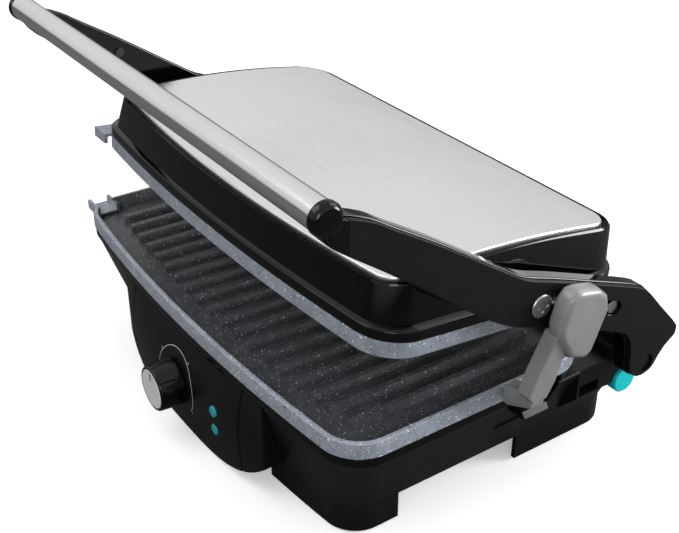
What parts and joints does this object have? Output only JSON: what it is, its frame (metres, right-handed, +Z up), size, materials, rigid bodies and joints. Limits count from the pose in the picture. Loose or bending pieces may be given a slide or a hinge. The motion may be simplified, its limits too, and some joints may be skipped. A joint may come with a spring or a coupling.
{
  "type": "contact grill",
  "caption": "Countertop contact grill: lower and floating upper ribbed plates, cranked arms with a bar handle, side latch, control knob and wide-opening hinge.",
  "frame": {"origin": "on the table under the middle of the whole grill's bounding box", "axes": "+X along the handle towards the side with the latch, +Y from the knob to the hinge, +Z up"},
  "size_m": [0.3386, 0.233, 0.2136],
  "materials": {
    "satin_black": "satin moulded black",
    "gloss_black": "glossy moulded black",
    "matt_black": "matt moulded black",
    "stone_coating": "speckled grey non-stick coating on cast aluminium",
    "brushed_steel": "brushed stainless steel sheet",
    "zinc": "zinc-plated steel",
    "latch_grey": "satin grey moulding",
    "teal": "teal moulding",
    "lamp_teal": "translucent teal lens",
    "rubber": "black rubber"
  },
  "bodies": {
    "base": {"base_bottom_cover": "satin_black", "base_housing": "satin_black", "base_rim": "gloss_black", "control_panel": "satin_black", "cord_gland": "satin_black", "foot_pad_1": "rubber", "foot_pad_2": "rubber", "foot_pad_3": "rubber", "foot_pad_4": "rubber", "hinge_bracket_left": "satin_black", "hinge_bracket_right": "satin_black", "lamp_carrier": "satin_black", "latch_catch": "satin_black", "lower_heating_element": "zinc", "lower_plate": "stone_coating", "lower_reflector": "zinc", "power_lens": "lamp_teal", "ready_lens": "lamp_teal", "release_spring": "zinc", "terminal_block": "satin_black", "thermostat": "zinc"},
    "control_knob": {"knob": "gloss_black", "knob_cap": "brushed_steel", "thermostat_shaft": "zinc"},
    "release_button": {"release_button": "teal"},
    "hinge_hubs": {"hinge_hub_left": "zinc", "hinge_hub_right": "zinc"},
    "yoke": {"arm_left": "gloss_black", "arm_right": "gloss_black", "arm_cover_left": "matt_black", "arm_cover_right": "matt_black", "arm_screw_left": "zinc", "arm_screw_right": "zinc", "slot_rivet_left": "zinc", "slot_rivet_right": "zinc", "hinge_pin_left": "zinc", "hinge_pin_right": "zinc", "pivot_screw_left": "zinc", "pivot_screw_right": "zinc", "handle_tube": "brushed_steel", "handle_core": "satin_black", "latch_pin": "zinc"},
    "lid": {"lid_bush_left": "zinc", "lid_bush_right": "zinc", "lid_housing": "gloss_black", "lid_top_panel": "brushed_steel", "upper_plate": "stone_coating", "upper_heating_element": "zinc", "upper_reflector": "zinc", "thermal_fuse": "satin_black"},
    "latch": {"latch_lever": "latch_grey"}
  },
  "joints": [
    {"name": "opening", "type": "hinge", "parent": "base", "child": "hinge_hubs", "pos_m": [-0.0062, 0.09296, 0.0615], "axis": [-1, 0, 0], "range_deg": [0, 150]},
    {"name": "closing", "type": "hinge", "parent": "hinge_hubs", "child": "yoke", "pos_m": [-0.0062, 0.09296, 0.0615], "axis": [-1, 0, 0], "range_deg": [-20.2, 0]},
    {"name": "lid_level", "type": "hinge", "parent": "yoke", "child": "lid", "pos_m": [-0.0062, 0.00955, 0.12696], "axis": [-1, 0, 0], "range_deg": [0, 14.46]},
    {"name": "latch_swing", "type": "hinge", "parent": "yoke", "child": "latch", "pos_m": [0.158, 0.01797, 0.12681], "axis": [1, 0, 0], "range_deg": [0, 12]},
    {"name": "knob_turn", "type": "hinge", "parent": "base", "child": "control_knob", "pos_m": [-0.0062, -0.104, 0.033], "axis": [0, 1, 0], "range_deg": [0, 270]},
    {"name": "button_press", "type": "slide", "parent": "base", "child": "release_button", "axis": [-1, 0, 0], "range_m": [0, 0.004], "stiffness_N_per_m": 400, "springref_m": -0.001}
  ],
  "couplings": [
    {"joint": "closing", "follows": "lid_level", "ratio": -1.3966}
  ]
}
